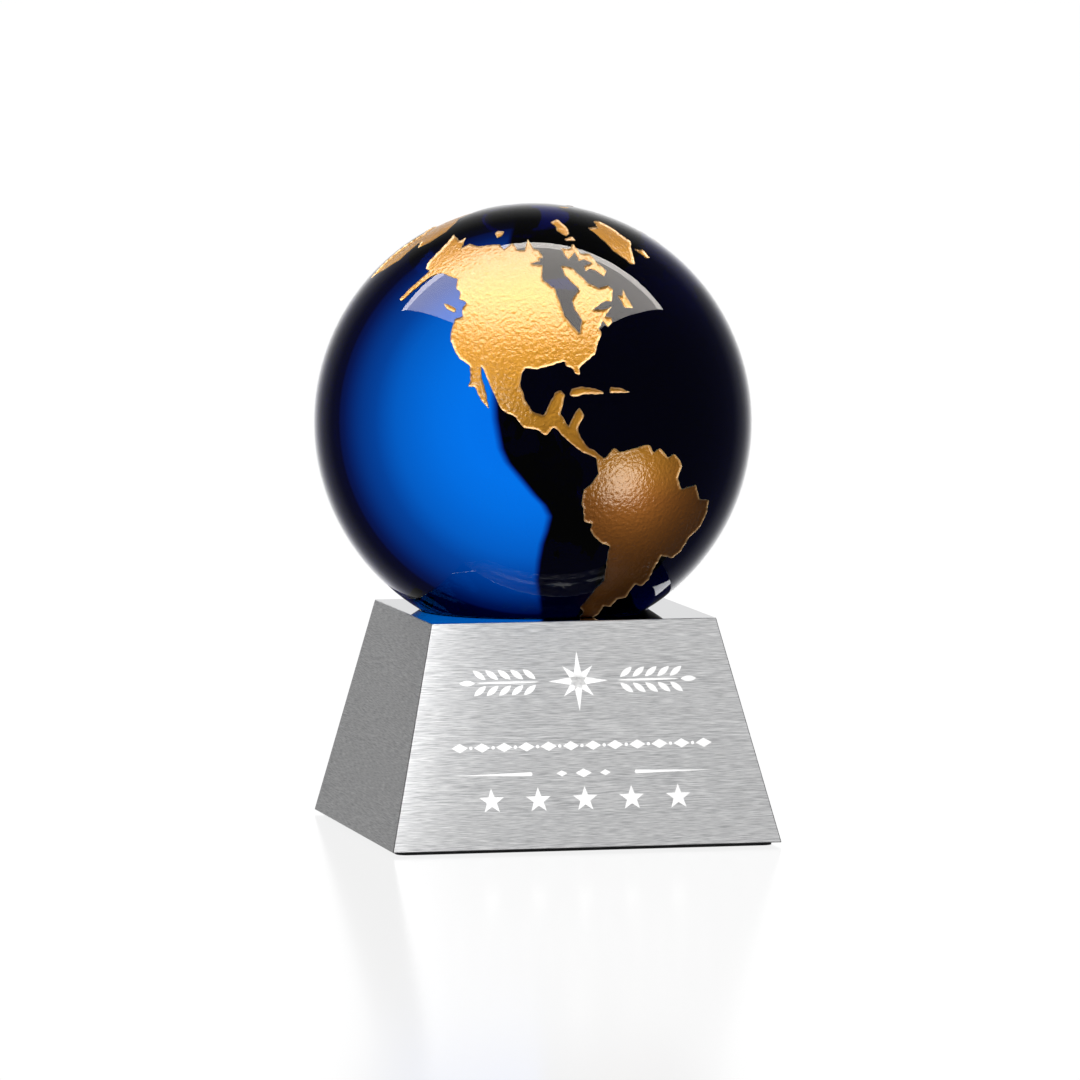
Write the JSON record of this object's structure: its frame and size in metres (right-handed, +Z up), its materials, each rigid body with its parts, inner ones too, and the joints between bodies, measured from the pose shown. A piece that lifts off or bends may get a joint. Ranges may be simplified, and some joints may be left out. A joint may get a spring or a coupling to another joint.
{
  "type": "desktop globe on stand",
  "caption": "Solid cobalt-blue glass world globe with etched, gold-filled lands, bonded to a tapered brushed-aluminium block that stands on a thin foam pad.",
  "frame": {"origin": "middle of the foam pad's underside, on the block's vertical axis", "axes": "+Z up towards the globe's top, front of the block and its marks facing -Y, +X to the right seen from the front"},
  "size_m": [0.08, 0.08, 0.1149],
  "materials": {
    "cobalt_glass": "polished",
    "gold_filling": "satin",
    "brushed_aluminium": "brushed",
    "white_enamel": "matte",
    "eva_foam": "matte",
    "clear_adhesive": "clear"
  },
  "bodies": {
    "root": {"base_block": "brushed_aluminium", "foot_pad": "eva_foam", "bond_film": "clear_adhesive", "globe_glass": "cobalt_glass", "rose_fill": "white_enamel", "laurel_fill": "white_enamel", "band_fill": "white_enamel", "rule_fill": "white_enamel", "star_fill": "white_enamel", "americas_gold": "gold_filling", "afro_eurasia_gold": "gold_filling", "greenland_gold": "gold_filling", "baffin_island_gold": "gold_filling", "ellesmere_island_gold": "gold_filling", "devon_island_gold": "gold_filling", "banks_island_gold": "gold_filling", "newfoundland_gold": "gold_filling", "haida_gwaii_gold": "gold_filling", "cuba_gold": "gold_filling", "hispaniola_gold": "gold_filling", "iceland_gold": "gold_filling", "great_britain_gold": "gold_filling", "ireland_gold": "gold_filling", "svalbard_gold": "gold_filling", "novaya_zemlya_gold": "gold_filling", "madagascar_gold": "gold_filling", "sri_lanka_gold": "gold_filling", "sumatra_gold": "gold_filling", "java_gold": "gold_filling", "borneo_gold": "gold_filling", "sulawesi_gold": "gold_filling", "new_guinea_gold": "gold_filling", "luzon_gold": "gold_filling", "mindanao_gold": "gold_filling", "taiwan_gold": "gold_filling", "honshu_gold": "gold_filling", "hokkaido_gold": "gold_filling", "sakhalin_gold": "gold_filling", "australia_gold": "gold_filling", "tasmania_gold": "gold_filling", "north_new_zealand_gold": "gold_filling", "south_new_zealand_gold": "gold_filling"}
  },
  "joints": []
}
